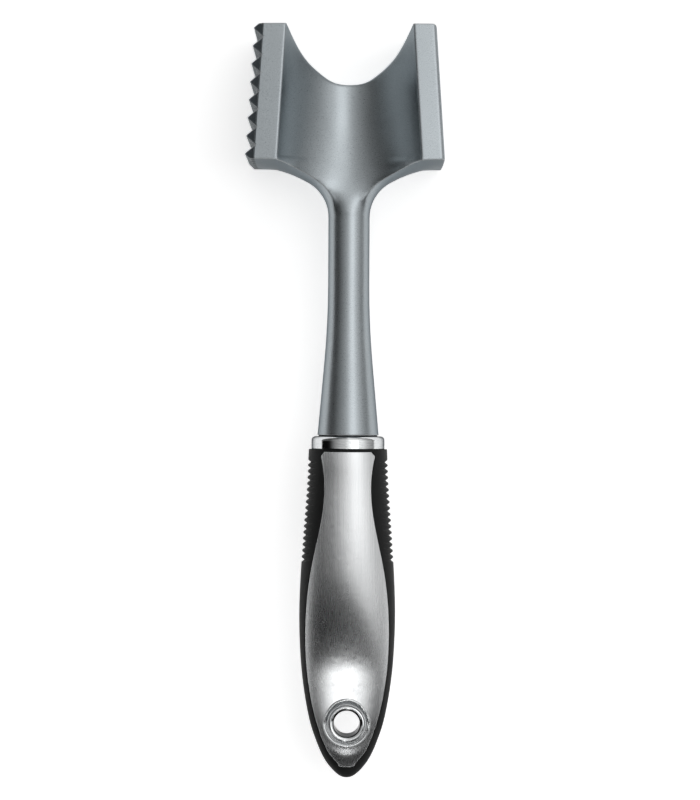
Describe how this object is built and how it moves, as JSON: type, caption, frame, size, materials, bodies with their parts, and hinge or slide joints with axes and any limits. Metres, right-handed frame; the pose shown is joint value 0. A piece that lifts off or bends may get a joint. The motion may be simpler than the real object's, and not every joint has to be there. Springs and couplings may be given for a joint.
{
  "type": "meat tenderizer",
  "caption": "Meat tenderizer: waisted cast mallet head with a toothed and a flat face, round shank, finned soft grip and steel handle plates with a hanging hole.",
  "frame": {"origin": "centre of the hanging hole, halfway through the handle, on the tool's own axis", "axes": "+Y runs along the handle towards the head, +Z out of the front plate, +X towards the flat pounding face and -X towards the toothed face"},
  "size_m": [0.0666, 0.2534, 0.044],
  "materials": {
    "cast_metal": "die-cast, satin grey with a fine metallic grain",
    "seal_rubber": "matt black",
    "polished_steel": "polished stainless steel",
    "core_plastic": "moulded black",
    "pin_steel": "turned steel",
    "grip_rubber": "soft matt black with moulded fins",
    "brushed_plate": "stainless steel brushed along the handle"
  },
  "bodies": {
    "root": {"head_casting": "cast_metal", "neck_seal": "seal_rubber", "collar": "polished_steel", "handle_core": "core_plastic", "tang_pins": "pin_steel", "soft_grip": "grip_rubber", "front_plate": "brushed_plate", "rear_plate": "brushed_plate", "hang_eyelet": "polished_steel", "eyelet_ring": "polished_steel"}
  },
  "joints": []
}
